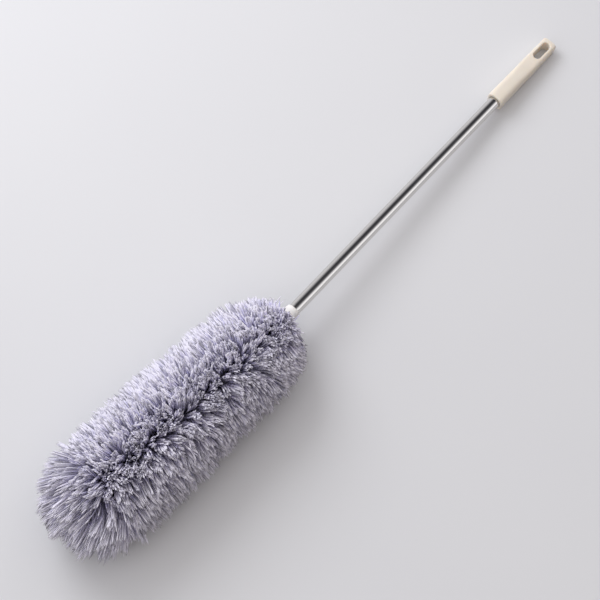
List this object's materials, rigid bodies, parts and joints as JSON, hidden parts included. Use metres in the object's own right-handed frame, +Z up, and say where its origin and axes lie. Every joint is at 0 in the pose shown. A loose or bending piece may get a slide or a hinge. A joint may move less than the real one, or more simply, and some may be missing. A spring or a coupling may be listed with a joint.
{
  "type": "ceiling fan duster",
  "caption": "Telescopic steel pole with an ivory handle and hang slot, carrying a long fluffy lilac-grey pile head on a bendable core for dusting fan blades.",
  "frame": {"origin": "on the floor under the middle of the whole part as it lies, pole closed", "axes": "+X along the floor from the head towards the handle, +Z up, +Y to the side that the head is set towards"},
  "size_m": [0.8392, 0.147, 0.1157],
  "materials": {
    "ivory_plastic": "satin",
    "white_plastic": "satin",
    "polished_steel": "polished",
    "soft_wire": "satin",
    "core_plastic": "matte",
    "pile_fibre": "matte"
  },
  "bodies": {
    "pole_base": {"handle_grip": "ivory_plastic", "outer_tube": "polished_steel", "tube_end_plug": "white_plastic"},
    "pole_second": {"second_tube": "polished_steel", "second_bush": "white_plastic"},
    "pole_third": {"third_tube": "polished_steel", "third_bush": "white_plastic"},
    "pole_fourth": {"fourth_tube": "polished_steel", "fourth_bush": "white_plastic", "thread_plug": "white_plastic"},
    "head_root": {"ferrule": "white_plastic", "core_sheath": "core_plastic", "core_wire": "soft_wire", "pile_1": "pile_fibre"},
    "head_second": {"pile_2": "pile_fibre"},
    "head_third": {"pile_3": "pile_fibre"},
    "head_tip": {"pile_4": "pile_fibre", "tip_cap": "white_plastic"}
  },
  "joints": [
    {"name": "second_tube_slide", "type": "slide", "parent": "pole_base", "child": "pole_second", "axis": [-0.9969, 0, 0.0785], "range_m": [0, 0.357]},
    {"name": "third_tube_slide", "type": "slide", "parent": "pole_second", "child": "pole_third", "axis": [-0.9969, 0, 0.0785], "range_m": [0, 0.337]},
    {"name": "fourth_tube_slide", "type": "slide", "parent": "pole_third", "child": "pole_fourth", "axis": [-0.9969, 0, 0.0785], "range_m": [0, 0.317]},
    {"name": "head_release", "type": "slide", "parent": "pole_fourth", "child": "head_root", "axis": [-0.9969, 0, 0.0785], "range_m": [0, 0.03]},
    {"name": "head_bend_rear", "type": "hinge", "parent": "head_root", "child": "head_second", "pos_m": [-0.15042, -0.00544, 0.05041], "axis": [0, 0, 1], "range_deg": [-30, 30], "deforming": ["core_sheath", "core_wire", "pile_1", "pile_2"]},
    {"name": "head_bend_middle", "type": "hinge", "parent": "head_second", "child": "head_third", "pos_m": [-0.22458, 0.0017, 0.05041], "axis": [0, 0, 1], "range_deg": [-30, 30], "deforming": ["pile_3"]},
    {"name": "head_bend_front", "type": "hinge", "parent": "head_third", "child": "head_tip", "pos_m": [-0.29874, 0.00884, 0.05041], "axis": [0, 0, 1], "range_deg": [-30, 30], "deforming": ["pile_4"]}
  ]
}
